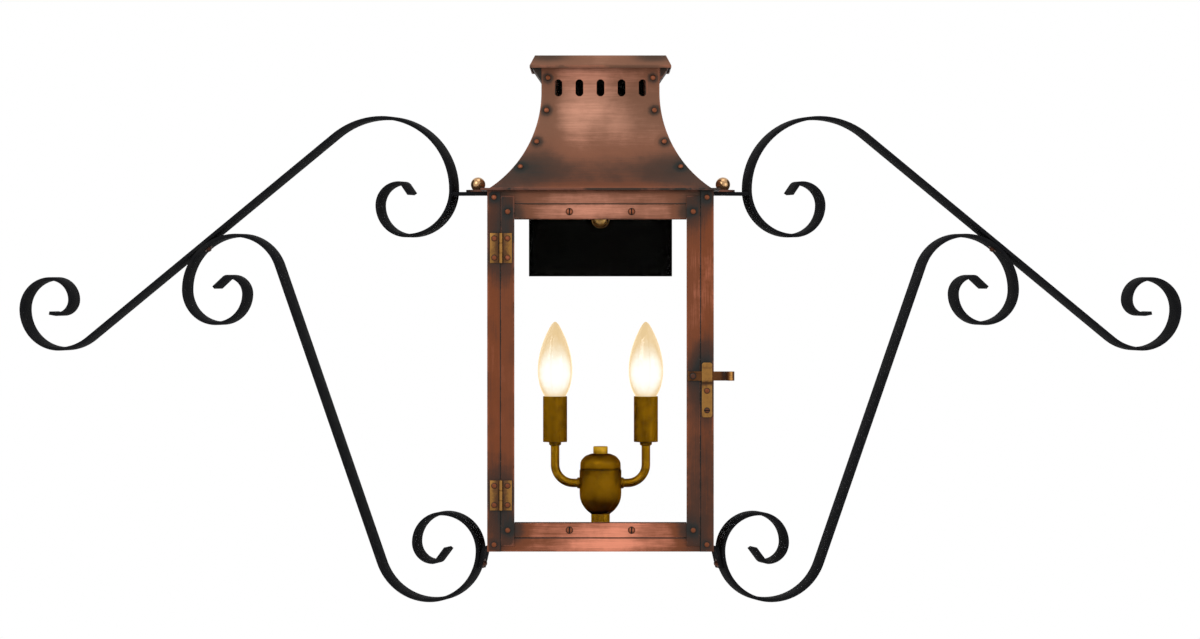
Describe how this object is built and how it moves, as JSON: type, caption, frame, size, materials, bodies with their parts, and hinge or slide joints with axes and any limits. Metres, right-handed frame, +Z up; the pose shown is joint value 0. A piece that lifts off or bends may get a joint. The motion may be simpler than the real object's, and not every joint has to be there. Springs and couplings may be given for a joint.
{
  "type": "wall lantern",
  "caption": "Square wall lantern with a flared vented roof, a hinged glazed door, candle lamps inside and a pair of black scroll brackets at its sides.",
  "frame": {"origin": "on the wall, at the centre of the crossbar that the wall box's screws hold, on the mounting stud's axis", "axes": "+X to the right seen from the front, +Y into the wall, +Z up"},
  "size_m": [1.0964, 0.2249, 0.5017],
  "materials": {
    "copper": "brushed, antiqued copper",
    "copper_rivets": "antiqued copper",
    "brass": "aged brass",
    "lamp_brass": "satin antique brass",
    "socket_plastic": "matt",
    "bulb_metal": "plain",
    "bulb_glass": "clear, lit",
    "clear_glass": "clear",
    "zinc_steel": "zinc plated",
    "black_iron": "satin black"
  },
  "bodies": {
    "lantern": {"front_post_left": "copper", "front_post_right": "copper", "rear_posts": "copper", "front_rail_top": "copper", "front_rail_bottom": "copper", "rear_rails": "copper", "side_rails_top": "copper", "side_rails_bottom": "copper", "frame_rivets": "copper_rivets", "floor_pan": "copper", "side_glass": "clear_glass", "rear_glass": "clear_glass", "glass_clips": "copper", "brim_plate": "copper", "roof_panel_front": "copper", "roof_panel_rear": "copper", "roof_panel_left": "copper", "roof_panel_right": "copper", "roof_rivets": "copper_rivets", "chimney_cap": "copper", "cap_skirts": "copper", "ball_nuts": "brass", "ball_nut_studs": "brass", "hinge_post_leaves": "brass", "hinge_pins": "brass", "latch_catch": "brass", "catch_screw": "brass", "lamp_stem": "lamp_brass", "stem_locknut": "lamp_brass", "cluster_body": "lamp_brass", "cluster_cap": "lamp_brass", "cluster_knob": "lamp_brass", "lamp_arms": "lamp_brass", "candle_sleeves": "lamp_brass", "lamp_sockets": "socket_plastic", "bulb_bases": "bulb_metal", "bulb_glasses": "bulb_glass", "back_plate": "black_iron", "back_plate_rivets": "copper_rivets", "wall_crossbar": "zinc_steel", "mounting_stud": "zinc_steel", "cup_washer": "brass", "wall_nut": "brass", "upper_scroll_left": "black_iron", "upper_scroll_right": "black_iron", "lower_scroll_left": "black_iron", "lower_scroll_right": "black_iron", "scroll_straps": "black_iron", "scroll_lugs_and_bolts": "black_iron"},
    "door": {"door_stile_left": "copper", "door_stile_right": "copper", "door_rail_top": "copper", "door_rail_bottom": "copper", "door_glass": "clear_glass", "door_glass_holders": "copper", "door_rivets": "copper_rivets", "door_screws": "brass", "hinge_door_leaves": "brass", "latch_pivot": "copper_rivets"},
    "latch_lever": {"latch_lever": "brass"}
  },
  "joints": [
    {"name": "door_hinge", "type": "hinge", "parent": "lantern", "child": "door", "pos_m": [-0.08965, -0.2196, -0.0282], "axis": [0, 0, -1], "range_deg": [0, 150]},
    {"name": "latch_pivot_turn", "type": "hinge", "parent": "door", "child": "latch_lever", "pos_m": [0.0832, -0.218, -0.1434], "axis": [0, -1, 0], "range_deg": [0, 88]}
  ]
}
